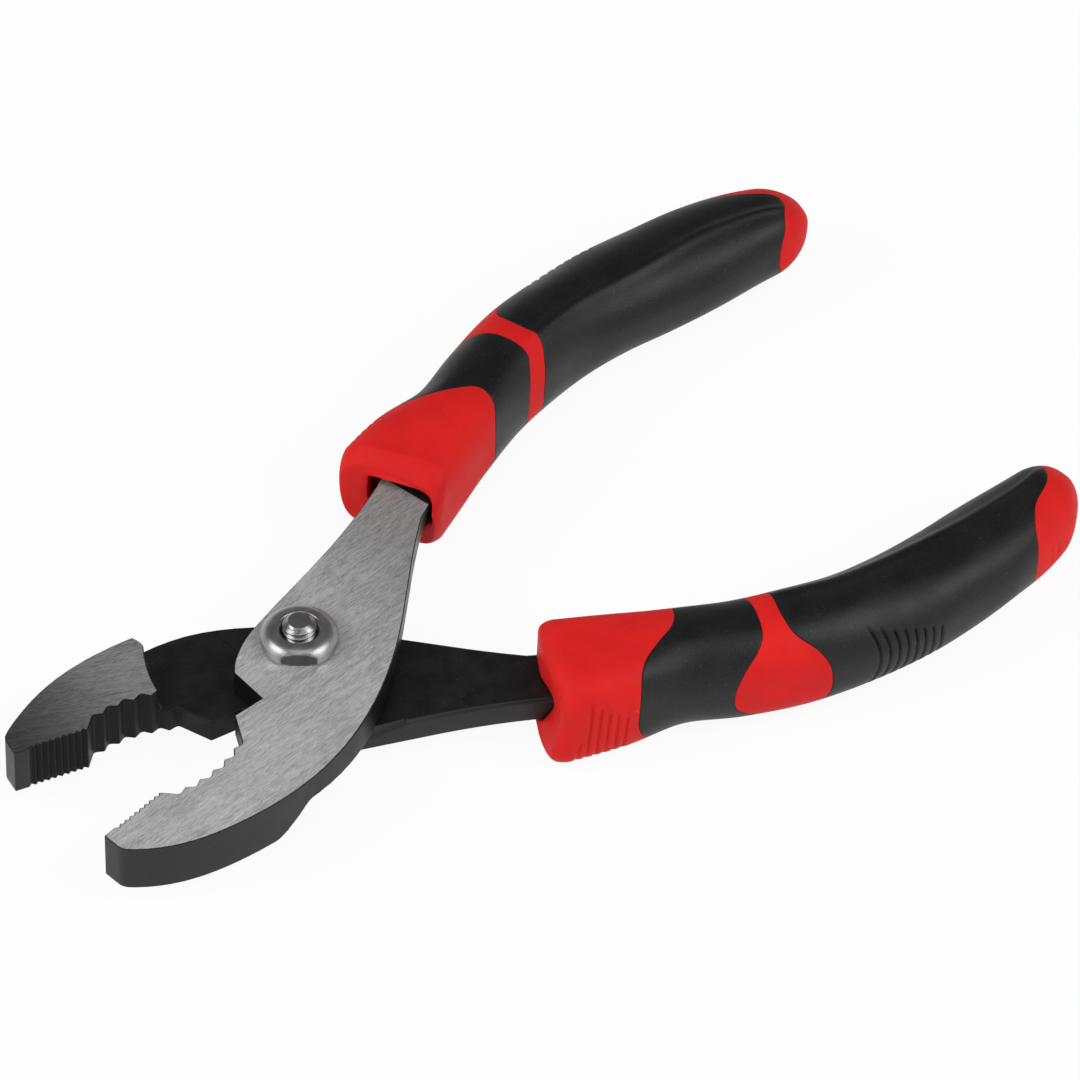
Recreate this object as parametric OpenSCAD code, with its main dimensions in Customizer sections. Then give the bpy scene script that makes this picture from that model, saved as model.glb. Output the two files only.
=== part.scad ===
// Slip joint pliers: two forged halves on a keyed pivot bolt, with two-shot moulded grips.
// The pivot axis is the Z axis, the jaws point along -X and the grips along +X.

/* [Jaws] */
// Pivot axis to the jaw tip, along the tool
jaw_length = 56.7; // [50:0.1:64]
// Pivot axis to the inner corner of the jaw tip, across the tool
jaw_drop = 18.9; // [17:0.1:21]
// Slope of the toothed face to the centre line, in degrees
jaw_slope = 12.1; // [9:0.1:15]
// Width of the blunt jaw tip
tip_width = 4.7; // [3:0.1:7]
// Pivot axis to the deepest part of the jaw's back, across the tool
jaw_back = 30.8; // [28:0.1:36]
// Plain length of face before the first fine tooth
fine_lead = 2.8; // [1:0.1:4]
// Number of fine teeth
fine_teeth = 9; // [5:1:10]
// Spacing of the fine teeth
fine_pitch = 1.3; // [0.9:0.05:1.4]
// Depth of the fine teeth
fine_depth = 0.55; // [0.2:0.05:0.9]
// Number of coarse teeth in the pipe grip
pipe_teeth = 5; // [3:1:5]
// Spacing of the coarse teeth along their arc
pipe_pitch = 3.26; // [2.4:0.02:3.5]
// Depth of the coarse teeth
pipe_tooth = 1.1; // [0.5:0.05:1.6]
// Jaw tip to the middle of the pipe grip, along the face
pipe_reach = 25.2; // [24.6:0.1:26]
// Radius of the pipe grip
pipe_radius = 24.4; // [20:0.1:30]
// Depth of the pipe grip below the face
pipe_depth = 3.5; // [2.5:0.1:4.5]

/* [Joint] */
// Thickness of each half at the joint and along its tang
half_thick = 5.1; // [4:0.1:7]
// Running gap between the sliding faces
face_gap = 0.05; // [0.02:0.01:0.1]
// Pivot axis to the centre line that the halves mirror about
pivot_offset = 5.75; // [5:0.05:6.5]
// How far the lower half sits towards the jaw tips
setback = 1.8; // [1:0.1:2.6]
// Radius of the step where the jaws meet the thin joint
step_radius = 28.7; // [27:0.1:30]
// Direction of the slip slot, in degrees from +X
slot_angle = 76.5; // [65:0.5:90]
// Distance between the two seats of the slip slot
slip_travel = 6.5; // [5.5:0.1:7]
// Diameter of the bolt's shank
shank_d = 8.9; // [8.6:0.05:9.6]
// Width across the flats of the bolt's shank
shank_flats = 5.8; // [4.5:0.1:5.9]
// Radial running clearance round the shank
shank_gap = 0.05; // [0.02:0.01:0.1]
// Pivot axis to the wire cutter's nose, along the tool
nose_reach = 20.4; // [19:0.1:21.5]
// Pivot axis to the wire cutter's nose, across the tool
nose_drop = 8.3; // [7.9:0.1:9.5]
// Pivot axis to the bottom of the wire notch, along the tool
notch_reach = 13.9; // [12.5:0.1:15]
// Pivot axis to the bottom of the wire notch, across the tool
notch_drop = 7.7; // [6.5:0.1:7.8]
// Pivot axis to the joint's heel corner, along the tool
heel_reach = 14.5; // [13:0.1:16]
// Height of the heel corner past the pivot axis, across the tool
heel_rise = 0.4; // [0:0.1:2]

/* [Bolt and nut] */
// Width across the flats of the bolt's head
head_flats = 12.5; // [11:0.1:14]
// Height of the bolt's head
head_height = 4.2; // [3:0.1:6]
// Thickness of the thrust washer
washer_thick = 1.1; // [0.6:0.1:2]
// Diameter of the thrust washer
washer_d = 17; // [15:0.5:20]
// Diameter of the bolt's thread
thread_d = 6.3; // [5:0.1:7]
// Thread left standing above the nut
thread_stand = 2; // [1:0.1:3]
// Diameter of the nut
nut_d = 14.4; // [12:0.1:17]
// Width across the nut's two flats
nut_flats = 12.6; // [10.5:0.1:14]
// Height of the nut
nut_height = 3.6; // [3:0.1:5]
// Height of the chamfer round the nut's top
nut_chamfer = 0.9; // [0.3:0.1:1.4]
// Direction of the nut's flats, in degrees from +X
nut_turn = -36; // [-90:1:90]

/* [Tangs] */
// Pivot axis to the mouth of the grip, along the tool
tang_reach = 34.5; // [32:0.1:38]
// Pivot axis to the mouth of the grip, across the tool
tang_rise = 22.8; // [21.5:0.1:24.5]
// Width of the tang at the mouth of the grip
tang_width = 11.6; // [10:0.1:12.5]
// How far the tang sits towards the inner side of the mouth
tang_set = 4.6; // [3:0.1:5]
// Length of the tang inside the grip
tang_length = 60; // [45:0.5:66]
// Width of the tang's end
tang_end_width = 6.5; // [4:0.1:8]

/* [Grips] */
// Length of each grip along the tool
grip_length = 108.5; // [100:0.5:120]
// Sideways bow of each grip
grip_bow = 19.1; // [18:0.1:21]
// Width of each grip at its collar
grip_width = 24; // [23:0.1:28]
// Depth of the soft pads over the hard core
pad_depth = 2.2; // [1.2:0.1:3]
// Length of the rounded grip end
end_round = 9; // [6:0.5:14]
// Roundness of the grip's cross-section, 2 for an ellipse and more for a squarer one
grip_roundness = 2.4; // [2:0.1:3.2]

/* [Hidden] */
$fn = 96;

// Overrun of every cut, and the hairline gaps round the moulded pads and the tangs
overrun = 1;
mould_gap = 0.05;
tang_gap = 0.1;

// Heights, from the plane that the bolt's head and the grips rest on
washer_z = head_height + face_gap;
lower_z = washer_z + washer_thick + face_gap;
upper_z = lower_z + half_thick + face_gap;
top_z = upper_z + half_thick;
mid_z = (lower_z + top_z) / 2;
jaw_thick = top_z - lower_z;

// Points of one half's outline, with the heading of the edge at each in degrees
tip_lean = 7.5;
tip_in = [-jaw_length, -jaw_drop];
tip_out = tip_in + tip_width * [sin(tip_lean), -cos(tip_lean)];
nose = [-nose_reach, -nose_drop];
notch = [-notch_reach, -notch_drop];
heel = [-heel_reach, heel_rise];
heel_heading = 263;
shoulder_reach_share = 0.34;
shoulder_rise_share = 0.35;
shoulder = [-shoulder_reach_share * heel_reach, shoulder_rise_share * tang_rise];
shoulder_heading = 199;
mouth_in_heading = 42.8;
mouth_out_heading = 29.4;
belly_share = 0.54;
belly = [-belly_share * jaw_length, -jaw_back];
tip_heading = -40;
flank_reach_share = 0.09;
flank_drop_share = 0.607;
flank = [flank_reach_share * jaw_length, -flank_drop_share * jaw_back];
flank_heading = 36;
edge_pull_share = 0.36;
edge_steps = 12;

// Grip at equal steps along it: shares of the bow, width, height and roundness
grip_start = [tang_reach, tang_rise];
grip_shares = [
    [0.000, 1.000, 0.98, 1.40], [0.250, 0.915, 0.98, 1.33], [0.410, 0.760, 0.97, 1.08],
    [0.650, 0.715, 0.99, 1.00], [0.855, 0.760, 0.99, 1.00], [0.960, 0.800, 0.95, 1.00],
    [1.000, 0.830, 0.90, 1.00], [0.995, 0.830, 0.855, 1.00], [0.955, 0.785, 0.81, 1.00],
    [0.875, 0.710, 0.73, 1.00], [0.760, 0.620, 0.65, 1.00]];
tang_settle_share = 0.3;
tangent_share = 0.02;
ring_sides = 24;

// Colour borders along the grip at its inner side, top and outer side
mouth_shares = [0.018, 0.008, 0];
rim_shares = [0.030, 0.020, 0.012];
collar_shares = [0.207, 0.212, 0.106];
band_front_shares = [0.327, 0.341, 0.281];
band_rear_shares = [0.368, 0.382, 0.429];
cap_shares = [0.926, 0.945, 0.830];
rim_round = 0.9;

// Rings of points along each stretch of the grip
tang_rings = 14;
collar_rings = 6;
neck_rings = 5;
band_rings = 3;
palm_rings = 14;
end_rings = 8;
end_ring_angle = 80;

// Direction of the toothed face and the angle between coarse teeth
face_along = [cos(jaw_slope), sin(jaw_slope)];
face_up = [-sin(jaw_slope), cos(jaw_slope)];
pipe_step = pipe_pitch / pipe_radius * 180 / PI;

function heading(angle) = [cos(angle), sin(angle)];

// Points of a smooth edge from a to b, leaving at one heading and arriving at another
function edge(a, a_heading, b, b_heading) =
    let (pull = edge_pull_share * norm(b - a))
    let (c = a + pull * heading(a_heading), d = b - pull * heading(b_heading))
    [for (k = [0 : edge_steps - 1])
        let (t = k / edge_steps, s = 1 - t)
        s * s * s * a + 3 * s * s * t * c + 3 * s * t * t * d + t * t * t * b];

// A point of the toothed face: along the face from the tip, and up from the face
function on_face(along, up) = tip_in + along * face_along + up * face_up;

function fine_face() = [for (k = [0 : fine_teeth - 1])
    let (start = fine_lead + k * fine_pitch)
    each [on_face(start, 0), on_face(start + fine_pitch / 2, -fine_depth)]];

function on_pipe(turn, radius) =
    on_face(pipe_reach + radius * sin(turn), pipe_radius - pipe_depth - radius * cos(turn));

function pipe_face() = [for (k = [0 : 2 * pipe_teeth])
    let (turn = (k / 2 - pipe_teeth / 2) * pipe_step)
    on_pipe(turn, k % 2 == 0 ? pipe_radius + pipe_tooth : pipe_radius)];

// Smooth curve through the rows of a table, at a place counted in rows
function through(table, place) =
    let (last = len(table) - 1)
    let (i = min(max(floor(place), 0), last - 1), t = place - i)
    let (p = table[max(i - 1, 0)], q = table[i], r = table[i + 1], s = table[min(i + 2, last)])
    (2 * q + (r - p) * t + (2 * p - 5 * q + 4 * r - s) * t * t
        + (3 * q - p - 3 * r + s) * t * t * t) / 2;

// Bow, width and height shares at a share of the grip's length
function grip_row(share) = through(grip_shares, share * (len(grip_shares) - 1));

function grip_axis(share) = grip_start + [share * grip_length, grip_row(share)[0] * grip_bow];

function grip_side(share) =
    let (run = grip_axis(share + tangent_share) - grip_axis(share - tangent_share))
    [-run[1], run[0]] / norm(run);

// Half width and half height of the grip, rounded off at its end
end_start_share = 1 - end_round / grip_length;
function grip_half(share) =
    let (turn = max(0, (share - end_start_share) / (1 - end_start_share)))
    sqrt(max(0, 1 - turn * turn))
    * [grip_row(share)[1] * grip_width / 2, grip_row(share)[2] * mid_z];

// The tang's middle and half width inside the grip, which carry it from the mouth to its end
tang_end_share = tang_length / grip_length;
function tang_middle(share) =
    let (left = max(0, 1 - share / tang_settle_share))
    grip_axis(share) - tang_set * left * left * grip_side(share);
function tang_half(share) =
    (tang_width + (tang_end_width - tang_width) * share / tang_end_share) / 2;
function tang_edge(share, way) = tang_middle(share) + way * tang_half(share) * grip_side(share);
function tang_shares() = [for (k = [0 : tang_rings]) tang_end_share * k / tang_rings];

// Outline of one half, seen from above
function half_outline() =
    let (mouth_in = tang_edge(0, -1), mouth_out = tang_edge(0, 1))
    concat(
        [tip_in],
        fine_face(),
        [on_face(fine_lead + fine_teeth * fine_pitch, 0)],
        pipe_face(),
        [nose, notch],
        edge(heel, heel_heading - 180, shoulder, shoulder_heading - 180),
        edge(shoulder, shoulder_heading - 180, mouth_out, mouth_out_heading),
        [for (s = tang_shares()) tang_edge(s, 1)],
        [for (k = [tang_rings : -1 : 1]) tang_edge(tang_shares()[k], -1)],
        edge(mouth_in, mouth_in_heading + 180, flank, flank_heading + 180),
        edge(flank, flank_heading + 180, belly, 180),
        edge(belly, 180, tip_out, tip_heading + 180),
        [tip_out]);

function power(value, exponent) = sign(value) * pow(abs(value), exponent);
function ring_turn(k) = 360 * k / ring_sides;
function ring_bend(share) = 2 / (grip_roundness * grip_row(share)[3]);

// A point of the grip's surface, drawn in by an inset
function grip_point(share, k, inset) =
    let (bend = ring_bend(share), half = grip_half(share))
    let (across = (half[0] - inset) * power(cos(ring_turn(k)), bend))
    let (flat = grip_axis(share) + across * grip_side(share))
    [flat[0], flat[1], mid_z + (half[1] - inset) * power(sin(ring_turn(k)), bend)];

// Where a colour border lies along the grip, at one side of the ring
function border(shares, k) =
    let (v = power(cos(ring_turn(k)), 2 / grip_roundness))
    let (lean = (shares[2] - shares[0]) / 2, bend = (shares[2] + shares[0]) / 2 - shares[1])
    shares[1] + lean * v + bend * v * v;

// Rings from one border to another, keeping a gap to both
function stretch(front_shares, rear_shares, rings, inset, gap = 0) =
    let (shift = gap / grip_length)
    [for (j = [0 : rings]) [for (k = [0 : ring_sides - 1])
        let (from = border(front_shares, k) + shift, to = border(rear_shares, k) - shift)
        grip_point(from + (to - from) * j / rings, k, inset)]];

// Rings from the last border round the end
function end_stretch() = [for (j = [0 : end_rings]) [for (k = [0 : ring_sides - 1])
    let (from = border(cap_shares, k))
    grip_point(from + (1 - from) * sin(end_ring_angle * j / end_rings), k, 0)]];

// Rings of the pocket that the tang fills, from its end to the mouth
function pocket() = [for (j = [tang_rings : -1 : 0]) [for (k = [0 : ring_sides - 1])
    let (left = 1 - j / tang_rings)
    let (share = tang_shares()[j] + left * border(mouth_shares, k) + (1 - left) * tang_gap / grip_length)
    let (c = cos(ring_turn(k)), s = sin(ring_turn(k)), square = max(abs(c), abs(s)))
    let (flat = tang_middle(share) + (tang_half(share) + tang_gap) * c / square * grip_side(share))
    [flat[0], flat[1], (upper_z + top_z) / 2 + (half_thick / 2 + tang_gap) * s / square]]];

// A solid skinned over rings of points, with flat ends, or looped from its inner rings to its outer ones
module skin(rings, looped = false) {
    rows = len(rings);
    last = (rows - 1) * ring_sides;
    middles = looped ? [] : [for (r = [rings[0], rings[rows - 1]]) (r[0] + r[ring_sides / 2]) / 2];
    front = rows * ring_sides;
    rear = front + 1;
    sides = [for (i = [0 : rows - (looped ? 1 : 2)], k = [0 : ring_sides - 1])
        let (l = (k + 1) % ring_sides, n = (i + 1) % rows)
        let (a = i * ring_sides + k, b = i * ring_sides + l)
        let (c = n * ring_sides + l, d = n * ring_sides + k)
        each looped ? [[a, b, c], [a, c, d]] : [[a, c, b], [a, d, c]]];
    ends = looped ? [] : [for (k = [0 : ring_sides - 1])
        let (l = (k + 1) % ring_sides)
        each [[front, k, l], [rear, last + l, last + k]]];
    polyhedron(concat([for (r = rings) each r], middles), concat(sides, ends));
}

// One half without its pivot hole: thin joint and tang, and the full-thickness jaw
module half_blank() {
    translate([0, 0, upper_z])
    linear_extrude(half_thick)
    polygon(half_outline());
    translate([0, 0, lower_z])
    linear_extrude(jaw_thick)
    intersection() {
        difference() {
            polygon(half_outline());
            translate([setback, -2 * pivot_offset]) circle(step_radius);
        }
        translate([-jaw_length - tip_width, -jaw_back - tip_width])
        square([jaw_length + tip_width - nose_reach, jaw_back + tip_width]);
    }
}

// The lower half and its grip are the upper ones turned over about the centre line
module turned_over() {
    translate([-setback, -2 * pivot_offset, 2 * mid_z])
    rotate([180, 0, 0])
    children();
}

// A round shank with two flats, lined up with the slip slot
module keyed_shank(diameter, flats, height) {
    intersection() {
        cylinder(h = height, d = diameter);
        rotate([0, 0, slot_angle])
        translate([-diameter, -flats / 2, -overrun])
        cube([2 * diameter, flats, height + 2 * overrun]);
    }
}

module sleeve() {
    skin(concat(
        pocket(),
        [stretch(mouth_shares, rim_shares, 1, rim_round)[0]],
        stretch(rim_shares, collar_shares, collar_rings, 0),
        stretch(collar_shares, band_front_shares, neck_rings, pad_depth),
        stretch(band_front_shares, band_rear_shares, band_rings, 0),
        stretch(band_rear_shares, cap_shares, palm_rings, pad_depth),
        end_stretch()));
}

// A soft pad: a sleeve of the pad's depth between two colour borders
module pad(front_shares, rear_shares, rings) {
    inside = stretch(front_shares, rear_shares, rings, pad_depth - mould_gap, mould_gap);
    outside = stretch(front_shares, rear_shares, rings, 0, mould_gap);
    skin(concat(inside, [for (j = [rings : -1 : 0]) outside[j]]), looped = true);
}

module upper_half() {
    color("silver")
    difference() {
        half_blank();
        translate([0, 0, upper_z - overrun])
        keyed_shank(shank_d + 2 * shank_gap, shank_flats + 2 * shank_gap, half_thick + 2 * overrun);
    }
}

module lower_half() {
    color("dimgray")
    difference() {
        turned_over() half_blank();
        for (seat = [0, slip_travel]) {
            translate([-seat * cos(slot_angle), -seat * sin(slot_angle), lower_z - overrun])
            cylinder(h = half_thick + 2 * overrun, d = shank_d + 2 * shank_gap);
        }
    }
}

module pivot_bolt() {
    color("dimgray") {
        cylinder(h = head_height, d = head_flats / cos(30), $fn = 6);
        keyed_shank(shank_d, shank_flats, top_z);
        translate([0, 0, top_z])
        cylinder(h = nut_height + thread_stand, d = thread_d);
    }
}

module pivot_nut() {
    hole_r = thread_d / 2 + shank_gap;
    nut_r = nut_d / 2;
    color("gainsboro")
    translate([0, 0, top_z])
    rotate([0, 0, nut_turn])
    intersection() {
        rotate_extrude()
        polygon([[hole_r, 0], [nut_r, 0], [nut_r, nut_height - nut_chamfer],
            [nut_r - nut_chamfer, nut_height], [hole_r + nut_chamfer, nut_height],
            [hole_r, nut_height - nut_chamfer]]);
        translate([-nut_d, -nut_flats / 2, -overrun])
        cube([2 * nut_d, nut_flats, nut_height + 2 * overrun]);
    }
}

module pivot_washer() {
    color("gray")
    translate([0, 0, washer_z])
    difference() {
        cylinder(h = washer_thick, d = washer_d);
        translate([0, 0, -overrun])
        cylinder(h = washer_thick + 2 * overrun, d = shank_d + 2 * shank_gap);
    }
}

module upper_sleeve() { color("firebrick") sleeve(); }
module upper_neck_pad() {
    color("darkslategray") pad(collar_shares, band_front_shares, neck_rings);
}
module upper_palm_pad() {
    color("darkslategray") pad(band_rear_shares, cap_shares, palm_rings);
}
module lower_sleeve() { color("firebrick") turned_over() sleeve(); }
module lower_neck_pad() {
    color("darkslategray") turned_over() pad(collar_shares, band_front_shares, neck_rings);
}
module lower_palm_pad() {
    color("darkslategray") turned_over() pad(band_rear_shares, cap_shares, palm_rings);
}

upper_half();
lower_half();
pivot_bolt();
pivot_nut();
pivot_washer();
upper_sleeve();
upper_neck_pad();
upper_palm_pad();
lower_sleeve();
lower_neck_pad();
lower_palm_pad();
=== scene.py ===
from bisect import bisect_right
from math import atan2, cos, exp, hypot, pi, radians, sin, tau
from operator import itemgetter

import bmesh
import bpy
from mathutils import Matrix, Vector


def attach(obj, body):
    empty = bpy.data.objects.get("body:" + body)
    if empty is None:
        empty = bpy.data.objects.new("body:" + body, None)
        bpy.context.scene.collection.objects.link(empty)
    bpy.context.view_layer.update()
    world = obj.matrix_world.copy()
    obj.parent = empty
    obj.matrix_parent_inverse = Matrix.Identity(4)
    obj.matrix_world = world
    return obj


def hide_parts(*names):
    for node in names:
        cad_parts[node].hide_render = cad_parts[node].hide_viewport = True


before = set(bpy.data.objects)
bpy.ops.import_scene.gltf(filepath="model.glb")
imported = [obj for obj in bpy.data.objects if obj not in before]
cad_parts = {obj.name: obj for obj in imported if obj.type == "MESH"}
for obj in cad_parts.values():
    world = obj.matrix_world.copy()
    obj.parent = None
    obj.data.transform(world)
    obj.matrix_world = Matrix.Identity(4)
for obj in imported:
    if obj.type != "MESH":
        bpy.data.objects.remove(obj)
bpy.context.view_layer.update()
mm = 0.001
scene = bpy.context.scene

joint = {
    "topFace": 15.65,
    "upperJoint": 10.55,
    "lowerJoint": 10.5,
    "bottomFace": 5.4,
    "midHeight": 10.525,
    "turnOver": (-1.8, -11.5),  # the lower half is the upper one turned over
}


def curveAt(points, at):
    last = len(points) - 1
    i = min(max(bisect_right(points, at, key=itemgetter(0)) - 1, 0), last - 1)
    x0, y0 = points[i]
    x1, y1 = points[i + 1]
    before = points[max(i - 1, 0)]
    after = points[min(i + 2, last)]
    span = x1 - x0
    slope0 = (y1 - before[1]) / (x1 - before[0])
    slope1 = (after[1] - y0) / (after[0] - x0)
    t = min(max((at - x0) / span, 0.0), 1.0)
    back = 1 - t
    return ((1 + 2 * t) * back * back * y0 + t * back * back * span * slope0
            + t * t * (3 - 2 * t) * y1 + t * t * (t - 1) * span * slope1)


def ease(low, high, at):
    t = min(max((at - low) / (high - low), 0.0), 1.0)
    return t * t * (3 - 2 * t)


def mixed(a, b, t):
    return a + (b - a) * t


def smoothByAngle(bm, limit):
    for face in bm.faces:
        face.smooth = True
    for edge in bm.edges:
        edge.smooth = len(edge.link_faces) == 2 and edge.calc_face_angle(pi) < limit


def roundEdges(bm, edges, radius, segments):
    bmesh.ops.bevel(bm, geom=edges, offset=radius * mm, offset_type="OFFSET", affect="EDGES",
                    segments=segments, profile=0.5, material=-1, clamp_overlap=False)


def spinLine(bm, points, steps):
    line = [bm.verts.new((r, 0, z)) for r, z in points]
    edges = [bm.edges.new(pair) for pair in zip(line, line[1:])]
    bmesh.ops.spin(bm, geom=line + edges, cent=(0, 0, 0), axis=(0, 0, 1), angle=tau, steps=steps,
                   use_merge=True)


def sliceOff(bm, place, way):
    everything = bm.verts[:] + bm.edges[:] + bm.faces[:]
    cut = bmesh.ops.bisect_plane(bm, geom=everything, plane_co=place, plane_no=way, clear_outer=True)
    rim = [g for g in cut["geom_cut"] if isinstance(g, bmesh.types.BMEdge)]
    bmesh.ops.contextual_create(bm, geom=rim)  # caps the open end


def addPiece(name, bm, materials, body, slot, *nodes):
    mesh = bpy.data.meshes.new(name)
    bm.to_mesh(mesh)
    bm.free()
    for material in materials:
        mesh.materials.append(material)
    piece = bpy.data.objects.new(name, mesh)
    scene.collection.objects.link(piece)
    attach(piece, body)
    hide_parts(*nodes)
    print("piece", name, len(mesh.polygons), "faces")


def addNode(tree, kind, **settings):
    made = tree.nodes.new("ShaderNode" + kind)
    for name, value in settings.items():
        setattr(made, name, value)
    return made


def wire(tree, *pairs):
    for source, target in pairs:
        tree.links.new(source, target)


def newGroup(name, inputs, outputs):
    group = bpy.data.node_groups.new(name, "ShaderNodeTree")
    for label, kind in inputs:
        group.interface.new_socket(label, in_out="INPUT", socket_type="NodeSocket" + kind)
    for label, kind in outputs:
        group.interface.new_socket(label, in_out="OUTPUT", socket_type="NodeSocket" + kind)
    return group, group.nodes.new("NodeGroupInput"), group.nodes.new("NodeGroupOutput")


def rangeNode(tree, source, low, high, toLow, toHigh):
    made = addNode(tree, "MapRange", clamp=True)
    made.interpolation_type = "SMOOTHSTEP"
    made.inputs["From Min"].default_value = low
    made.inputs["From Max"].default_value = high
    made.inputs["To Min"].default_value = toLow
    made.inputs["To Max"].default_value = toHigh
    wire(tree, (source, made.inputs["Value"]))
    return made.outputs["Result"]


def mathNode(tree, operation, a, b):
    made = addNode(tree, "Math", operation=operation)
    for socket, value in zip(made.inputs, (a, b)):
        if isinstance(value, (int, float)):
            socket.default_value = value
        else:
            wire(tree, (value, socket))
    return made.outputs[0]


def mixColour(tree, factor, a, b):
    made = addNode(tree, "Mix", data_type="RGBA")
    wire(tree, (factor, made.inputs[0]))
    for socket, value in ((made.inputs[6], a), (made.inputs[7], b)):
        if isinstance(value, (tuple, list)):
            socket.default_value = (*value[:3], 1)
        else:
            wire(tree, (value, socket))
    return made.outputs[2]


def noiseNode(tree, vector, scale, detail, roughness):
    made = addNode(tree, "TexNoise")
    made.inputs["Scale"].default_value = scale
    made.inputs["Detail"].default_value = detail
    made.inputs["Roughness"].default_value = roughness
    wire(tree, (vector, made.inputs["Vector"]))
    return made.outputs["Fac"]


def speckGroup():
    group, entry, leave = newGroup(
        "dustSpecks", [("Vector", "Vector"), ("Scale", "Float"), ("Share", "Float")], [("Mask", "Float")])
    cells = addNode(group, "TexVoronoi", feature="F1")
    wire(group, (entry.outputs["Vector"], cells.inputs["Vector"]),
         (entry.outputs["Scale"], cells.inputs["Scale"]))
    split = addNode(group, "SeparateColor")
    wire(group, (cells.outputs["Color"], split.inputs["Color"]))
    chosen = mathNode(group, "LESS_THAN", split.outputs[0], entry.outputs["Share"])
    size = rangeNode(group, split.outputs[1], 0.0, 1.0, 0.08, 0.3)
    near = mathNode(group, "SUBTRACT", size, cells.outputs["Distance"])
    spot = rangeNode(group, near, -0.03, 0.04, 0.0, 1.0)
    shade = mathNode(group, "MULTIPLY", spot, split.outputs[2])
    wire(group, (mathNode(group, "MULTIPLY", chosen, shade), leave.inputs["Mask"]))
    return group


def grindGroup():
    group, entry, leave = newGroup(
        "grindLines", [("Vector", "Vector")], [("Lines", "Float"), ("Patches", "Float")])
    fine = noiseNode(group, entry.outputs["Vector"], 1.0, 2.0, 0.6)
    wire(group, (rangeNode(group, fine, 0.34, 0.66, 0.0, 1.0), leave.inputs["Lines"]))
    patches = noiseNode(group, entry.outputs["Vector"], 0.13, 2.5, 0.5)
    wire(group, (rangeNode(group, patches, 0.3, 0.7, 0.0, 1.0), leave.inputs["Patches"]))
    return group


def mottleGroup():
    group, entry, leave = newGroup(
        "softMottle", [("Vector", "Vector"), ("Scale", "Float")],
        [("Value", "Float"), ("Grain", "Float")])
    broad = addNode(group, "TexNoise")
    broad.inputs["Detail"].default_value = 3.0
    wire(group, (entry.outputs["Vector"], broad.inputs["Vector"]),
         (entry.outputs["Scale"], broad.inputs["Scale"]))
    wire(group, (rangeNode(group, broad.outputs["Fac"], 0.3, 0.7, 0.0, 1.0), leave.inputs["Value"]))
    grain = addNode(group, "TexNoise")
    grain.inputs["Detail"].default_value = 2.0
    wire(group, (entry.outputs["Vector"], grain.inputs["Vector"]),
         (mathNode(group, "MULTIPLY", entry.outputs["Scale"], 34.0), grain.inputs["Scale"]))
    wire(group, (grain.outputs["Fac"], leave.inputs["Grain"]))
    return group


groups = {"specks": speckGroup(), "grind": grindGroup(), "mottle": mottleGroup()}


def newMaterial(name):
    material = bpy.data.materials.new(name)
    material.use_nodes = True
    tree = material.node_tree
    shader = tree.nodes["Principled BSDF"]
    place = addNode(tree, "TexCoord").outputs["Object"]
    return material, tree, shader, place


def useGroup(tree, key, vector, **values):
    made = addNode(tree, "Group", node_tree=groups[key])
    wire(tree, (vector, made.inputs["Vector"]))
    for label, value in values.items():
        made.inputs[label].default_value = value
    return made


def addBump(tree, shader, height, distance):
    bump = addNode(tree, "Bump")
    bump.inputs["Distance"].default_value = distance
    bump.inputs["Strength"].default_value = 1.0
    wire(tree, (height, bump.inputs["Height"]), (bump.outputs["Normal"], shader.inputs["Normal"]))


def setRough(tree, shader, source, low, high):
    wire(tree, (rangeNode(tree, source, 0.0, 1.0, low, high), shader.inputs["Roughness"]))


def addDust(tree, tone, specks, share, colour):
    return mixColour(tree, mathNode(tree, "MULTIPLY", specks.outputs["Mask"], share), tone, colour)


def groundSteel(name, turn, tones, paintedShades, rough):
    material, tree, shader, place = newMaterial(name)
    passes = []
    for lean, size in ((0, (2.3, 0.17, 1.0)), (17, (1.2, 0.14, 1.0))):
        along = addNode(tree, "Mapping", vector_type="TEXTURE")
        along.inputs["Rotation"].default_value = (0, 0, radians(turn + lean))
        along.inputs["Scale"].default_value = Vector(size) * mm
        wire(tree, (place, along.inputs["Vector"]))
        passes.append(useGroup(tree, "grind", along.outputs["Vector"]))
    mottle = useGroup(tree, "mottle", place, Scale=90.0)
    lines = mathNode(tree, "ADD", mathNode(tree, "MULTIPLY", passes[0].outputs["Lines"], 0.58),
                     mathNode(tree, "MULTIPLY", passes[1].outputs["Lines"], 0.42))
    tone = mathNode(tree, "MULTIPLY", lines, 0.72)
    tone = mathNode(tree, "ADD", tone, mathNode(tree, "MULTIPLY", passes[0].outputs["Patches"], 0.14))
    tone = mathNode(tree, "ADD", tone, mathNode(tree, "MULTIPLY", mottle.outputs["Value"], 0.14))
    colour = mixColour(tree, tone, *tones)
    split = addNode(tree, "SeparateXYZ")
    wire(tree, (place, split.inputs[0]))
    # painted shade: each range darkens the steel's colour along x
    for low, high, first, last in paintedShades:
        shade = rangeNode(tree, split.outputs["X"], low * mm, high * mm, first, last)
        paintedDarkening = addNode(tree, "Mix", data_type="RGBA", blend_type="MULTIPLY")
        paintedDarkening.inputs[0].default_value = 1.0
        wire(tree, (colour, paintedDarkening.inputs[6]), (shade, paintedDarkening.inputs[7]))
        colour = paintedDarkening.outputs[2]
    wire(tree, (colour, shader.inputs["Base Color"]))
    setRough(tree, shader, lines, rough + 0.05, rough - 0.05)
    shader.inputs["Metallic"].default_value = 0.5
    addBump(tree, shader, lines, 0.003 * mm)
    return material


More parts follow.
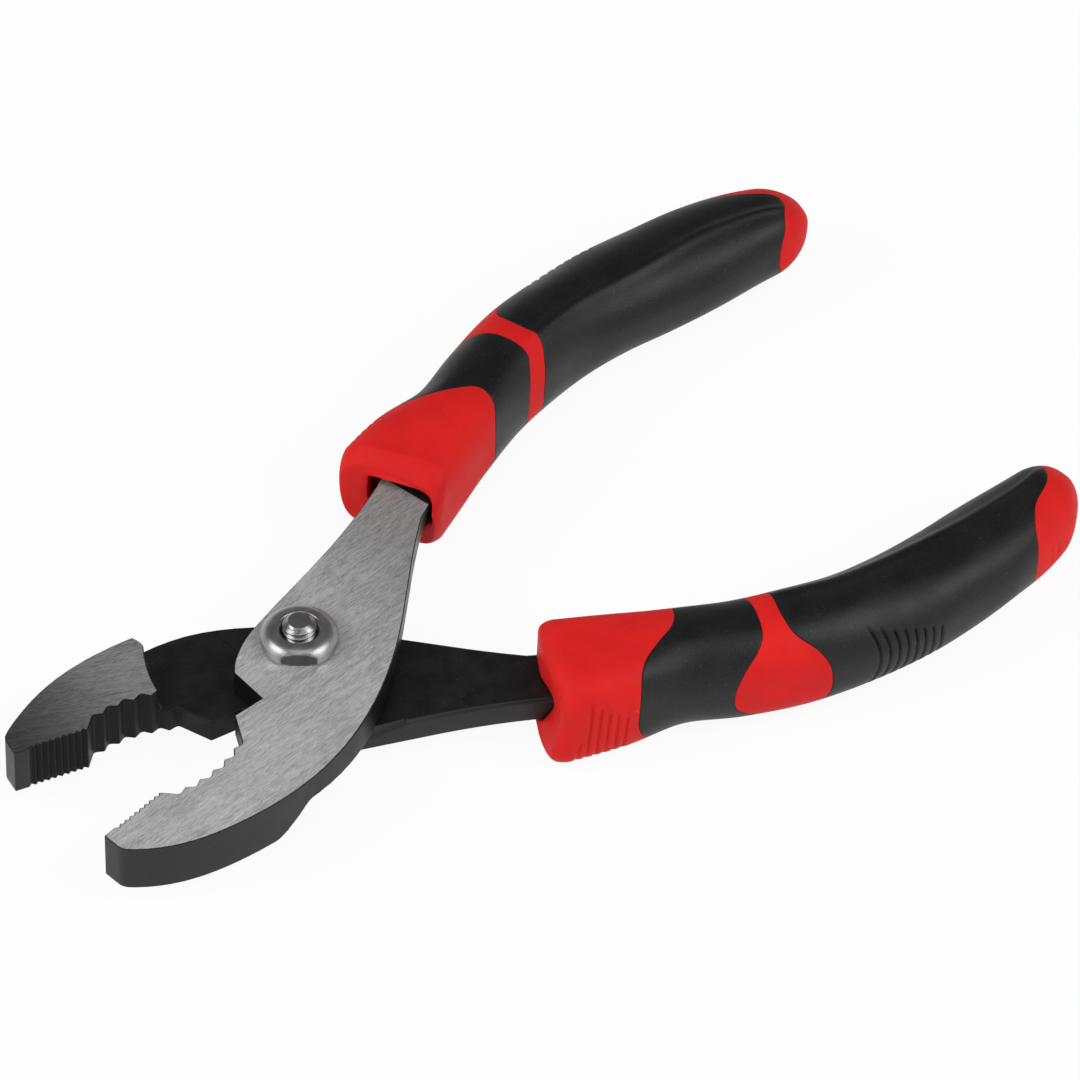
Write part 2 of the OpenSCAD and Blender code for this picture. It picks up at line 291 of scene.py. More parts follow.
def blackOxide(name, dark, light, gloss):
    material, tree, shader, place = newMaterial(name)
    mottle = useGroup(tree, "mottle", place, Scale=190.0)
    specks = useGroup(tree, "specks", place, Scale=1500.0, Share=0.22)
    tone = mixColour(tree, mottle.outputs["Value"], dark, light)
    tone = addDust(tree, tone, specks, 0.24, (0.10, 0.10, 0.10))
    wire(tree, (tone, shader.inputs["Base Color"]))
    setRough(tree, shader, mottle.outputs["Value"], 0.37, 0.47)
    shader.inputs["Specular IOR Level"].default_value = gloss
    addBump(tree, shader, mottle.outputs["Grain"], 0.008 * mm)
    return material


def turnedMetal(name, tone, light, rough, metal):
    material, tree, shader, place = newMaterial(name)
    flat = addNode(tree, "VectorMath", operation="MULTIPLY")
    flat.inputs[1].default_value = (1, 1, 0)
    span = addNode(tree, "VectorMath", operation="LENGTH")
    wire(tree, (place, flat.inputs[0]), (flat.outputs[0], span.inputs[0]))
    rings = addNode(tree, "TexNoise", noise_dimensions="1D")
    rings.inputs["Scale"].default_value = 5200.0
    rings.inputs["Detail"].default_value = 3.0
    wire(tree, (span.outputs["Value"], rings.inputs["W"]))
    mottle = useGroup(tree, "mottle", place, Scale=260.0)
    both = mathNode(tree, "ADD", mathNode(tree, "MULTIPLY", rings.outputs["Fac"], 0.6),
                    mathNode(tree, "MULTIPLY", mottle.outputs["Value"], 0.4))
    wire(tree, (mixColour(tree, both, tone, light), shader.inputs["Base Color"]))
    worn = rangeNode(tree, both, 0.2, 0.8, rough - 0.05, rough + 0.06)
    wire(tree, (worn, shader.inputs["Roughness"]))
    shader.inputs["Metallic"].default_value = metal
    addBump(tree, shader, rings.outputs["Fac"], 0.003 * mm)
    return material


def redMoulding():
    material, tree, shader, place = newMaterial("redMoulding")
    mottle = useGroup(tree, "mottle", place, Scale=110.0)
    specks = useGroup(tree, "specks", place, Scale=700.0, Share=0.08)
    tone = mixColour(tree, mottle.outputs["Value"], (0.60, 0.010, 0.011), (0.69, 0.014, 0.012))
    tone = addDust(tree, tone, specks, 0.16, (0.9, 0.14, 0.08))
    wire(tree, (tone, shader.inputs["Base Color"]))
    setRough(tree, shader, mottle.outputs["Value"], 0.54, 0.64)
    shader.inputs["Specular IOR Level"].default_value = 0.14
    addBump(tree, shader, mottle.outputs["Grain"], 0.012 * mm)
    return material


def softBlack():
    material, tree, shader, place = newMaterial("softBlack")
    mottle = useGroup(tree, "mottle", place, Scale=130.0)
    specks = useGroup(tree, "specks", place, Scale=1500.0, Share=0.3)
    tone = mixColour(tree, mottle.outputs["Value"], (0.002, 0.002, 0.0021), (0.0045, 0.0045, 0.0046))
    tone = addDust(tree, tone, specks, 0.2, (0.11, 0.11, 0.11))
    dust = rangeNode(tree, mottle.outputs["Grain"], 0.5, 0.78, 0.0, 0.24)
    tone = mixColour(tree, dust, tone, (0.06, 0.06, 0.06))
    wire(tree, (tone, shader.inputs["Base Color"]))
    setRough(tree, shader, mottle.outputs["Value"], 0.42, 0.5)
    shader.inputs["Specular IOR Level"].default_value = 0.33
    addBump(tree, shader, mottle.outputs["Grain"], 0.05 * mm)
    return material


materials = {
    # painted shade in the last tuples: the upper steel darkens a little towards the joint and strongly
    # along the tang towards the sleeve, a painted shadow of the sleeve; the lower steel darkens towards
    # the jaw tip
    "upperGround": groundSteel("upperGround", 6, ((0.28, 0.28, 0.28), (0.88, 0.88, 0.88)),
                               ((-34, 4, 1.0, 0.93), (8, 34, 1.0, 0.68)), 0.44),
    "lowerGround": groundSteel("lowerGround", -20, ((0.13, 0.13, 0.13), (0.47, 0.47, 0.47)),
                               ((-58, -26, 0.22, 1.0),), 0.42),
    "oxide": blackOxide("blackOxide", (0.003, 0.003, 0.0031), (0.007, 0.007, 0.0072), 0.40),
    # painted shade: a darker, less glossy copy of the black oxide for the walls between the jaws and by
    # the joint
    "teeth": blackOxide("teethPaintedShade", (0.002, 0.002, 0.0021), (0.005, 0.005, 0.0052), 0.14),
    "nut": turnedMetal("brightNut", (0.22, 0.22, 0.222), (0.40, 0.40, 0.403), 0.34, 0.9),
    # painted shade: the nut's two flats use a darker copy of the nut metal
    "nutFlat": turnedMetal("nutFlat", (0.07, 0.07, 0.071), (0.13, 0.13, 0.132), 0.42, 0.65),
    "bolt": turnedMetal("boltSteel", (0.17, 0.17, 0.172), (0.32, 0.32, 0.323), 0.27, 1.0),
    # painted shade: a darker copy of the bolt steel for the bolt's end face
    "boltEnd": turnedMetal("boltEnd", (0.08, 0.08, 0.081), (0.16, 0.16, 0.162), 0.5, 0.7),
    "red": redMoulding(),
    "black": softBlack(),
}
print("materials made")

halfShape = {
    "stepRadius": 28.7,
    "tangCut": -10.0,
    "tipRound": 1.1,
    "valleyRound": 0.55,
    "edgeBreak": 0.2,
    "tangRound": 0.9,
    "overrun": 2.0,
    "middle": -5.75,
    "lobe": ((-14.4, 0.5), (-12.8, 2.6), (-8.9, 5.7), (-4.9, 7.8)),
    "lobeSlack": (0.4, 1.5),
    "cornerRound": (3.9, 2.9, 3.2),
    "cornerZone": (2.0, -20.0),
    "paintedShadowFrom": (36.4, 25.9),  # painted shadow of the sleeve: past this line the steel is drawn black
    "paintedShadowWay": (0.966, 0.258),
    "tipZone": 6.0,
    "tipTurn": 25,
    "valleyZone": (17.0, 36.0),
    "valleyTurn": -35,
    "tangFrom": 2.0,
    "tangTurn": 50,
    "breakTurn": 32,
    "smoothTurn": 16,
    "draftSide": -15.0,
    "teethFrom": 3.5,
    "teethTo": -2.0,
    "teethReach": 13.0,
    "jawBack": 9.0,
    "plateBack": 5.0,
    "tangBack": (8.0, -10.0, -0.77),  # from this x on the back edge starts at y and slopes
}
halves = {  # ramp: steps outward from the step's circle and down from the joint's face
    "upper": {
        "outerFace": joint["topFace"],
        "jawFace": joint["bottomFace"],
        "jointFace": joint["upperJoint"],
        "centre": (1.8, -11.5),
        "slot": "ground_steel",
        "rounded": False,
        "ramp": ((-3.2, 0), (-1.4, 0.35), (0, 1.4), (1, 2.3), (2.3, 3.3), (3.7, 4.3), (4.8, 4.9),
                 (6.4, 5.4)),
    },
    "lower": {
        "outerFace": joint["bottomFace"],
        "jawFace": joint["topFace"],
        "jointFace": joint["lowerJoint"],
        "centre": (0.0, 0.0),
        "slot": "black_steel",
        "rounded": True,
        "ramp": ((-1.1, 0), (-0.7, 0.08), (-0.35, 0.3), (-0.1, 0.65), (0, 1.1)),
    },
}
draft = ((-18, 0.0), (-12, 0.9), (-4, 1.5), (6, 1.5), (14, 0.0))  # the upper wall's lean, by x
plateReach = ((-24, 0.0), (-18, 0.75), (-12, 1.25), (-3, 1.2), (8, 0.5), (20, 0.7), (33, 1.1),
              (60, 1.1))  # how far the lower half's back edge stands out, by x
jawTrim = ((-60, 0.0), (-57, 0.35), (-52, 0.75), (-47, 0.6), (-40, 0.2), (-34, 0.0))


def stepCorner(bm, half):
    centre = Vector((*half["centre"], 0)) * mm
    radius = halfShape["stepRadius"] * mm
    found = []
    for edge in bm.edges:
        a, b = [(v.co - centre).xy for v in edge.verts]
        if edge.is_boundary and (a.length - radius) * (b.length - radius) < 0:
            found.append(a.lerp(b, (radius - a.length) / (b.length - a.length)))
    found = [p for p in found if p.x < 0]
    outer = max(found, key=lambda p: abs(p.y))
    inner = min(found, key=lambda p: abs(p.y))
    angle = atan2(outer.y, outer.x)
    turn = (atan2(inner.y, inner.x) - angle + pi) % tau - pi
    return angle, 1 if turn > 0 else -1


def recessCutter(half, corner, way):
    radius = halfShape["stepRadius"]
    jointFace, jawFace, ramp = half["jointFace"], half["jawFace"], half["ramp"]
    down = -1 if jawFace < jointFace else 1
    beyond = jawFace + down * halfShape["overrun"]
    steps = 22
    profile = [(0, jointFace)]
    for j in range(steps + 1):
        out = mixed(ramp[0][0], ramp[-1][0], j / steps)
        profile.append((radius + out, jointFace + down * curveAt(ramp, out)))
    profile += [(radius + ramp[-1][0], beyond), (0, beyond)]
    bm = bmesh.new()
    spinLine(bm, profile, 288)
    bmesh.ops.remove_doubles(bm, verts=bm.verts[:], dist=1e-4)
    start, span, height = halfShape["cornerRound"]
    ring, end = halfShape["cornerZone"]
    for vert in bm.verts:
        r = hypot(vert.co.x, vert.co.y)
        inside = radius * ((atan2(vert.co.y, vert.co.x) - corner + pi) % tau - pi) * way
        if half["rounded"] and r > radius - ring and end < inside < start:
            grow = 1 + height * min((start - inside) / span, 1.5) ** 2 / r  # the jaw's back corner
            vert.co.x *= grow
            vert.co.y *= grow
    bmesh.ops.translate(bm, vec=(*half["centre"], 0), verts=bm.verts[:])
    sliceOff(bm, (halfShape["tangCut"] + 1, 0, 0), (1, 0, 0))
    bmesh.ops.recalc_face_normals(bm, faces=bm.faces[:])
    bmesh.ops.scale(bm, vec=(mm, mm, mm), verts=bm.verts[:])
    return bm


def tangCutter(jointFace, jawFace):
    down = -1 if jawFace < jointFace else 1
    beyond = jawFace + down * halfShape["overrun"]
    bm = bmesh.new()
    bmesh.ops.create_cube(bm, size=1.0)
    width = 120.0
    reach = 130.0
    bmesh.ops.scale(bm, vec=(reach, width, abs(beyond - jointFace)), verts=bm.verts[:])
    middle = (halfShape["tangCut"] + reach / 2, 0, (beyond + jointFace) / 2)
    bmesh.ops.translate(bm, vec=middle, verts=bm.verts[:])
    bmesh.ops.scale(bm, vec=(mm, mm, mm), verts=bm.verts[:])
    return bm


def cutAway(bm, level, *cutters):
    made = []
    for k, source in enumerate((bm, *cutters)):
        mesh = bpy.data.meshes.new("cutStage%d" % k)
        source.to_mesh(mesh)
        source.free()
        item = bpy.data.objects.new("cutStage%d" % k, mesh)
        scene.collection.objects.link(item)
        made.append(item)
    for item in made[1:]:
        for vert in item.data.vertices:
            if abs(vert.co.z - level * mm) < 1e-6:
                vert.co.z = level * mm  # both cutters end in one plane
        cut = made[0].modifiers.new("cut", "BOOLEAN")
        cut.operation = "DIFFERENCE"
        cut.solver = "EXACT"
        cut.object = item
    bpy.context.view_layer.update()
    result = bmesh.new()
    result.from_object(made[0], bpy.context.evaluated_depsgraph_get())
    for item in made:
        mesh = item.data
        bpy.data.objects.remove(item)
        bpy.data.meshes.remove(mesh)
    return result


def shapeLobe(bm, turned):
    curve = halfShape["lobe"]
    below, above = halfShape["lobeSlack"]
    for vert in bm.verts:
        x, y = (vert.co / mm).xy
        if turned:
            x, y = x - joint["turnOver"][0], joint["turnOver"][1] - y
        if x < curve[-1][0] and curve[0][1] - below < y < curve[-1][1] + above:
            x = max(x, curve[0][0])
            y = curveAt(curve, x)
            if turned:
                x, y = x + joint["turnOver"][0], joint["turnOver"][1] - y
            vert.co = (x * mm, y * mm, vert.co.z)


def trimOutline(bm):
    tangX, tangY, slope = halfShape["tangBack"]
    for vert in bm.verts:
        x, y = (vert.co / mm).xy
        if x < jawTrim[-1][0] and y > halfShape["jawBack"]:
            y -= curveAt(jawTrim, x)
        back = halfShape["plateBack"] if x < tangX else tangY + slope * (x - tangX)
        if plateReach[0][0] < x < plateReach[-1][0] and y > back:
            y += curveAt(plateReach, x)
        vert.co = (x * mm, y * mm, vert.co.z)


def makeHalf(body):
    half = halves[body]
    outerFace, jawFace, jointFace = half["outerFace"], half["jawFace"], half["jointFace"]
    up = 1 if outerFace > jawFace else -1
    bm = bmesh.new()
    bm.from_mesh(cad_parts[body + "_half"].data)
    bmesh.ops.remove_doubles(bm, verts=bm.verts[:], dist=1e-6)
    away = [f for f in bm.faces if f.normal.z * up < 0.9
            or abs(f.calc_center_median().z - outerFace * mm) > 1e-5]
    bmesh.ops.delete(bm, geom=away, context="FACES")
    bmesh.ops.dissolve_limit(bm, angle_limit=radians(1), verts=bm.verts[:], edges=bm.edges[:])
    shapeLobe(bm, up < 0)
    if body == "lower":
        trimOutline(bm)
    bmesh.ops.remove_doubles(bm, verts=bm.verts[:], dist=5e-5)
    corner, way = stepCorner(bm, half)
    grown = bmesh.ops.extrude_face_region(bm, geom=bm.faces[:], use_keep_orig=True)
    moved = [g for g in grown["geom"] if isinstance(g, bmesh.types.BMVert)]
    bmesh.ops.translate(bm, vec=(0, 0, (jawFace - outerFace) * mm), verts=moved)
    for vert in moved:
        x, y = (vert.co / mm).xy
        if body == "upper" and draft[0][0] < x < draft[-1][0] and y < halfShape["draftSide"]:
            vert.co.y -= curveAt(draft, x) * mm
    bmesh.ops.recalc_face_normals(bm, faces=bm.faces[:])
    upright = [e for e in bm.edges if abs(e.verts[0].co.x - e.verts[1].co.x) < 1e-7
               and abs(e.verts[0].co.y - e.verts[1].co.y) < 1e-7 and len(e.link_faces) == 2]
    tipEnd = min(e.verts[0].co.x for e in upright)
    middle = halfShape["middle"] * mm
    tipEdges = [e for e in upright if e.verts[0].co.x < tipEnd + halfShape["tipZone"] * mm
                and e.calc_face_angle_signed() > radians(halfShape["tipTurn"])]
    tip = max(tipEdges, key=lambda e: abs(e.verts[0].co.y - middle))
    first, last = halfShape["valleyZone"]
    valleys = [e for e in upright if e.calc_face_angle_signed() < radians(halfShape["valleyTurn"])
               and tipEnd + first * mm < e.verts[0].co.x < tipEnd + last * mm]
    roundEdges(bm, valleys, halfShape["valleyRound"], 4)
    roundEdges(bm, [tip], halfShape["tipRound"], 6)
    bm = cutAway(bm, jointFace, recessCutter(half, corner, way), tangCutter(jointFace, jawFace))
    bmesh.ops.remove_doubles(bm, verts=bm.verts[:], dist=4e-6)
    bmesh.ops.dissolve_degenerate(bm, edges=bm.edges[:], dist=2e-6)
    bmesh.ops.recalc_face_normals(bm, faces=bm.faces[:])
    tangFrom = halfShape["tangFrom"] * mm
    tang = [e for e in bm.edges if len(e.link_faces) == 2
            and e.calc_face_angle(0) > radians(halfShape["tangTurn"])
            and min(v.co.x for v in e.verts) > tangFrom
            and abs(e.verts[0].co.z - e.verts[1].co.z) < 1e-6
            and abs(e.verts[0].co.z - jointFace * mm) < 1e-5]
    roundEdges(bm, tang, halfShape["tangRound"], 5)
    breaks = [e for e in bm.edges if len(e.link_faces) == 2
              and e.calc_face_angle(0) > radians(halfShape["breakTurn"])]
    roundEdges(bm, breaks, halfShape["edgeBreak"], 2)
    bmesh.ops.remove_doubles(bm, verts=bm.verts[:], dist=2e-6)
    bmesh.ops.recalc_face_normals(bm, faces=bm.faces[:])
    # painted shadow: faces beyond this plane, in the sleeve's mouth, take the black oxide instead of the
    # ground steel
    paintedShadowFrom = Vector(halfShape["paintedShadowFrom"]) * mm
    paintedShadowWay = Vector(halfShape["paintedShadowWay"]).normalized()
    everything = bm.verts[:] + bm.edges[:] + bm.faces[:]
    bmesh.ops.bisect_plane(bm, geom=everything, plane_co=(*paintedShadowFrom, 0), plane_no=(*paintedShadowWay, 0))
    bm.normal_update()
    teethFrom = tipEnd + halfShape["teethFrom"] * mm
    teethTo = halfShape["teethTo"] * mm
    for face in bm.faces:
        at = face.calc_center_median()
        level = min(abs(at.z - z * mm) for z in (outerFace, jawFace)) < 2e-5
        outsidePaintedShadow = (at.xy - paintedShadowFrom).dot(paintedShadowWay) < 0
        flat = abs(face.normal.z) > 0.995 and level and outsidePaintedShadow
        # painted shade: upright walls between the jaws take the darker teeth copy
        inMouth = teethFrom < at.x < teethTo and abs(at.y - middle) < halfShape["teethReach"] * mm
        mouthSide = inMouth and abs(face.normal.z) < 0.5
        face.material_index = 0 if flat else 2 if mouthSide else 1
    smoothByAngle(bm, radians(halfShape["smoothTurn"]))
    finishes = [materials[body + "Ground"], materials["oxide"], materials["teeth"]]
    addPiece(body + "Half", bm, finishes, body, half["slot"], body + "_half")


makeHalf("upper")
makeHalf("lower")

pivot = {
    "sides": 96,
    "nutBase": 15.65,
    "nutTop": 19.25,
    "nutRadius": 7.2,
    "nutFoot": ((-0.6, 0.0), (-0.5, 0.3), (0.0, 0.5)),  # out from the rim, up from the base
    "nutShoulder": 1.6,
    "nutFlat": 6.3,
    "nutTurn": -36,
    "nutRound": 0.14,
    "domeEnds": (4.05, 7.08),
    "domeDrop": 1.42,
    "domePower": 3.2,
    "bore": 3.3,
    "sink": ((3.95, 0.07), (3.35, 0.75), (3.3, 0.95)),  # radius, and down from the top
    "boltTop": 21.25,
    "crest": 3.15,
    "root": 2.5,
    "pitch": 1.27,
    "threadLow": 15.15,
    "threadCut": 16.25,
    "threadForm": ((0.0, "root"), (0.12, "root"), (0.44, "crest"), (0.56, "crest"), (0.88, "root")),
    "endRadius": 2.07,
    "endSlope": 1.6,
    "head": ((0, 0), (5.9, 0), (7.05, 0.62), (7.1, 0.8), (7.1, 3.7), (6.3, 4.2), (0, 4.2)),
    "headFlat": 6.25,
    "shank": ((0, 3.8), (4.45, 3.8), (4.45, 15.55), (3.1, 16.35), (0, 16.35)),
    "shankFlat": 2.9,
    "flatsTurn": 76.5,
}


def spunBlank(profile):
    bm = bmesh.new()
    spinLine(bm, [(r * mm, z * mm) for r, z in profile], pivot["sides"])
    bmesh.ops.remove_doubles(bm, verts=bm.verts[:], dist=1e-7)
    bmesh.ops.recalc_face_normals(bm, faces=bm.faces[:])
    return bm


def cutFlat(bm, distance, turn):
    out = Vector((cos(radians(turn)), sin(radians(turn)), 0))
    sliceOff(bm, out * distance * mm, out)


def makeNut():
    p = pivot
    base, top, wide = p["nutBase"], p["nutTop"], p["nutRadius"]
    profile = [(p["bore"], base)]
    profile += [(wide + out, base + up) for out, up in p["nutFoot"]]
    profile.append((wide, top - p["nutShoulder"]))
    steps = 14
    for j in range(steps, -1, -1):
        share = j / steps
        profile.append((mixed(*p["domeEnds"], share), top - p["domeDrop"] * share ** p["domePower"]))
    profile += [(r, top - down) for r, down in p["sink"]]
    profile.append((p["bore"], base))
    bm = spunBlank(profile)
    cutFlat(bm, p["nutFlat"], p["nutTurn"] - 90)
    cutFlat(bm, p["nutFlat"], p["nutTurn"] + 90)
    bmesh.ops.recalc_face_normals(bm, faces=bm.faces[:])
    edges = [e for e in bm.edges if len(e.link_faces) == 2 and e.calc_face_angle(0) > radians(24)
             and max(len(f.verts) for f in e.link_faces) > 8]
    roundEdges(bm, edges, p["nutRound"], 2)
    bm.normal_update()
    side = Vector((cos(radians(p["nutTurn"] - 90)), sin(radians(p["nutTurn"] - 90)), 0))
    # painted shade: faces on the two flats take the darker copy
    for face in bm.faces:
        face.material_index = 1 if abs(face.normal.dot(side)) > 0.999 else 0
    smoothByAngle(bm, radians(28))
    finishes = [materials["nut"], materials["nutFlat"]]
    addPiece("pivotNut", bm, finishes, "upper", "bright_nut", "pivot_nut")


def makeBolt():
    p = pivot
    bm = bmesh.new()
    turns = 7
    low = p["threadLow"]
    line = []
    for k in range(turns):
        z = low + k * p["pitch"]
        for share, kind in p["threadForm"]:
            line.append(bm.verts.new((p[kind] * mm, 0, (z + share * p["pitch"]) * mm)))
    line.append(bm.verts.new((p["root"] * mm, 0, (low + turns * p["pitch"]) * mm)))
    edges = [bm.edges.new(pair) for pair in zip(line, line[1:])]
    steps = 72
    bmesh.ops.spin(bm, geom=line + edges, cent=(0, 0, 0), axis=(0, 0, 1), angle=tau, steps=steps,
                   dvec=(0, 0, p["pitch"] * mm / steps))
    bmesh.ops.remove_doubles(bm, verts=bm.verts[:], dist=2e-6)
    for level, way in ((p["threadCut"], -1), (p["boltTop"], 1)):
        sliceOff(bm, (0, 0, level * mm), (0, 0, way))
    for vert in bm.verts:
        below = p["boltTop"] - vert.co.z / mm
        limit = p["endRadius"] + p["endSlope"] * below
        reach = hypot(vert.co.x, vert.co.y) / mm
        if reach > limit:
            vert.co.x *= limit / reach
            vert.co.y *= limit / reach
    bmesh.ops.recalc_face_normals(bm, faces=bm.faces[:])
    # painted shade: the top end face takes the darker bolt copy
    for face in bm.faces:
        face.material_index = 1 if face.calc_center_median().z > (p["boltTop"] - 0.02) * mm else 0
    head = spunBlank(p["head"])
    for k in range(6):
        cutFlat(head, p["headFlat"], 60 * k)
    bmesh.ops.recalc_face_normals(head, faces=head.faces[:])
    shank = spunBlank(p["shank"])
    for way in (-90, 90):
        cutFlat(shank, p["shankFlat"], p["flatsTurn"] + way)
    bmesh.ops.recalc_face_normals(shank, faces=shank.faces[:])
    for part in (head, shank):
        mesh = bpy.data.meshes.new("boltPart")
        part.to_mesh(mesh)
        part.free()
        bm.from_mesh(mesh)
        bpy.data.meshes.remove(mesh)
    smoothByAngle(bm, radians(30))
    finishes = [materials["bolt"], materials["boltEnd"]]
    addPiece("pivotBolt", bm, finishes, "upper", "bolt_steel", "pivot_bolt")


makeNut()
makeBolt()
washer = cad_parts["pivot_washer"]
washer.data.materials.clear()
washer.data.materials.append(materials["bolt"])

gripShape = {
    "start": (34.5, 22.8),  # where the axis of the upper grip begins
    "length": 108.5,
    "bow": 19.1,
    "width": 24.0,
    "high": 10.525,
    "lift": 0.4,
    "lowerShift": -0.4,
    "sides": 120,
    "mouthHeading": 24.5,
    "headingFade": 0.27,
    "endRound": 8.2,
    "endPower": 2.1,
    "endTilt": 5.0,
    "endLean": 0.1,
    "endFrom": 0.8,
    "endLift": 0.4,
    "liftFrom": 0.62,
    "padDepth": 2.2,
    "padClear": 0.06,
    "smoothTurn": 50,
    "seam": 0.12,
    "seamGap": 0.03,
}
gripShares = {  # at eleven even places along the grip
    "bow": (-0.015, 0.22, 0.42, 0.66, 0.855, 0.985, 1.015, 0.99, 0.95, 0.87, 0.745),
    "width": (0.96, 0.86, 0.74, 0.745, 0.77, 0.80, 0.845, 0.83, 0.82, 0.68, 0.495),
    "high": (0.995, 0.995, 0.975, 0.99, 0.99, 0.95, 0.90, 0.855, 0.84, 0.785, 0.73),
    "outerTop": (3.4, 3.7, 2.3, 2.3, 2.4, 2.0, 2.15, 2.4, 2.45, 2.8, 2.0),
    "innerTop": (4.8, 4.6, 3.9, 2.95, 2.8, 2.5, 2.15, 2.15, 2.25, 2.7, 3.15),
    "outerLow": (4.2, 3.45, 2.45, 2.85, 2.9, 2.55, 2.6, 2.8, 2.2, 2.95, 2.85),
    "innerLow": (2.9, 2.95, 2.6, 2.25, 2.4, 2.6, 2.45, 2.85, 2.55, 2.45, 2.45),
}
gripShares = {key: [(k / 10, v) for k, v in enumerate(values)] for key, values in gripShares.items()}
borders = {  # turn about the grip (0 outside, 90 above, 180 inside) and x in mm
    "collar": ((-180, 57.7), (-120, 57.5), (-100, 56.4), (-80, 53.4), (-60, 50.0), (-45, 48.7),
               (-10, 48.0), (20, 48.0), (45, 50.2), (65, 54.3), (90, 58.2), (110, 60.3),
               (130, 59.9), (150, 58.1), (180, 57.7)),
    "bandFront": ((-180, 68.9), (-160, 68.9), (-115, 70.9), (-80, 71.1), (-60, 70.7), (-45, 69.3),
                  (-30, 67.3), (-10, 65.6), (12, 65.1), (27, 66.0), (42, 69.2), (55, 71.0),
                  (80, 72.7), (115, 73.1), (128, 72.6), (140, 71.1), (155, 69.8), (180, 68.9)),
    "bandRear": ((-180, 73.6), (-150, 74.0), (-115, 75.0), (-85, 75.1), (-65, 75.6), (-52, 76.7),
                 (-35, 79.4), (-15, 81.2), (10, 81.7), (28, 81.3), (45, 79.8), (62, 77.2),
                 (85, 76.7), (115, 77.2), (128, 76.8), (143, 75.2), (160, 74.2), (180, 73.6)),
    "cap": ((-180, 134.3), (-165, 134.4), (-142, 135.9), (-122, 138.3), (-108, 137.8), (-92, 136.5),
            (-82, 134.5), (-72, 130.7), (-60, 128.4), (-45, 126.6), (-20, 125.5), (17, 124.7),
            (38, 125.4), (50, 128.0), (60, 131.5), (70, 135.0), (80, 137.2), (103, 137.5),
            (120, 136.5), (140, 135.6), (158, 134.5), (180, 134.3)),
}
mouthShape = {  # by turn, for each grip: where the front begins, and its bevel's depth and length
    "upper": {
        "front": ((-180, 34.9), (-135, 35.5), (-90, 36.0), (-45, 35.2), (0, 35.0), (45, 35.3),
                  (90, 36.1), (130, 36.4), (160, 35.4), (180, 34.9)),
        "depth": ((-180, 0.6), (-150, 1.2), (-125, 3.0), (-90, 3.2), (-40, 3.0), (0, 2.2),
                  (45, 2.3), (90, 3.2), (125, 3.0), (150, 1.2), (180, 0.6)),
        "reach": ((-180, 2.0), (-125, 4.2), (-90, 3.4), (-40, 4.4), (0, 3.8), (45, 3.2), (90, 3.2),
                  (125, 4.2), (150, 3.0), (180, 2.0)),
        "power": 1.4,
    },
    "lower": {
        "front": ((-180, 34.4), (-135, 33.2), (-90, 31.6), (-45, 32.2), (0, 34.4), (45, 34.8),
                  (90, 33.6), (135, 33.9), (180, 34.4)),
        "depth": ((-180, 0.6), (-140, 2.0), (-90, 3.0), (0, 2.4), (45, 2.4), (90, 2.4), (130, 2.0),
                  (150, 1.2), (180, 0.6)),
        "reach": ((-180, 2.0), (-90, 4.0), (0, 3.8), (90, 3.6), (130, 3.2), (180, 2.0)),
        "power": 1.9,
    },
}
pocket = {
    "tangWidth": 11.3,
    "tangSet": 4.6,
    "tangFade": 0.3,
    "end": 0.1,
    "lip": 0.1,
    "lipGrow": (1.012, 1.03),
    "corner": 9.0,
    "softCorner": 3.2,
    "upper": {"up": 1.75, "down": 0.35, "outer": 2.3, "inner": 0.15},
    "lower": {"up": 0.5, "down": 0.35, "outer": 0.45, "inner": 0.15},
}
ridge = {
    "high": 0.45,
    "spread": 6.5,
    "rise": (73, 77),
    "fall": (134, 140),
    "turns": ((72, 118), (85, 116), (96, 115), (105, 112), (118, 104), (125, 103), (132, 104),
              (138, 110)),
}
palmGrooves = {
    "first": 90.0, "pitch": 1.72, "count": 8, "width": 0.23, "deep": 0.52,
    "bow": 0.9, "lean": 0.0, "top": 40, "topStep": 4, "low": -46,
}
collarGrooves = {
    "first": 37.8, "pitch": 1.6, "count": 6, "width": 0.27, "deep": 0.4,
    "bow": 0.0, "lean": 0.016, "top": 38, "topStep": 6, "low": -46,
}
capGrooves = {
    "first": 129.4, "pitch": 2.1, "count": 2, "width": 0.24, "deep": 0.26,
    "bow": 0.0, "lean": 0.0, "top": 11, "topStep": 0, "low": -15,
}


def wrapTurn(turn):
    return (turn + 180) % 360 - 180


def looped(points):
    before = [(t - 360, x) for t, x in points[-3:-1]]
    after = [(t + 360, x) for t, x in points[1:3]]
    return before + list(points) + after


borders = {key: looped(points) for key, points in borders.items()}


def axisAt(share):
    start = gripShape["start"]
    x = start[0] + share * gripShape["length"]
    return Vector((x, start[1] + curveAt(gripShares["bow"], share) * gripShape["bow"]))


def forwardAt(share):
    step = 0.02
    run = axisAt(min(share + step, 1.0)) - axisAt(max(share - step, 0.0))
    heading = atan2(run.y, run.x)
    fade = ease(0.0, gripShape["headingFade"], share)
    heading = mixed(radians(gripShape["mouthHeading"]), heading, fade)
    heading += radians(gripShape["endTilt"]) * ease(gripShape["endFrom"], 1.0, share)
    return Vector((cos(heading), sin(heading)))


def bell(at, spread):
    return exp(-(at / spread) ** 2)


def grooveAt(g, x, turn):
    out = 0.0
    if not g["first"] - 2 < x < g["first"] + g["pitch"] * g["count"] + 2:
        return out
    if not g["low"] - 6 < turn < g["top"] + 4:
        return out
    for k in range(g["count"]):
        top = g["top"] - g["topStep"] * k
        fade = ease(g["low"] - 4, g["low"] + 4, turn) * (1 - ease(top - 4, top + 3, turn))
        bowed = g["bow"] * (1 - k / 10) * ((turn - 4) / 34) ** 2
        middle = g["first"] + g["pitch"] * k + g["lean"] * turn - bowed
        out -= g["deep"] * fade * bell(x - middle, g["width"])
    return out


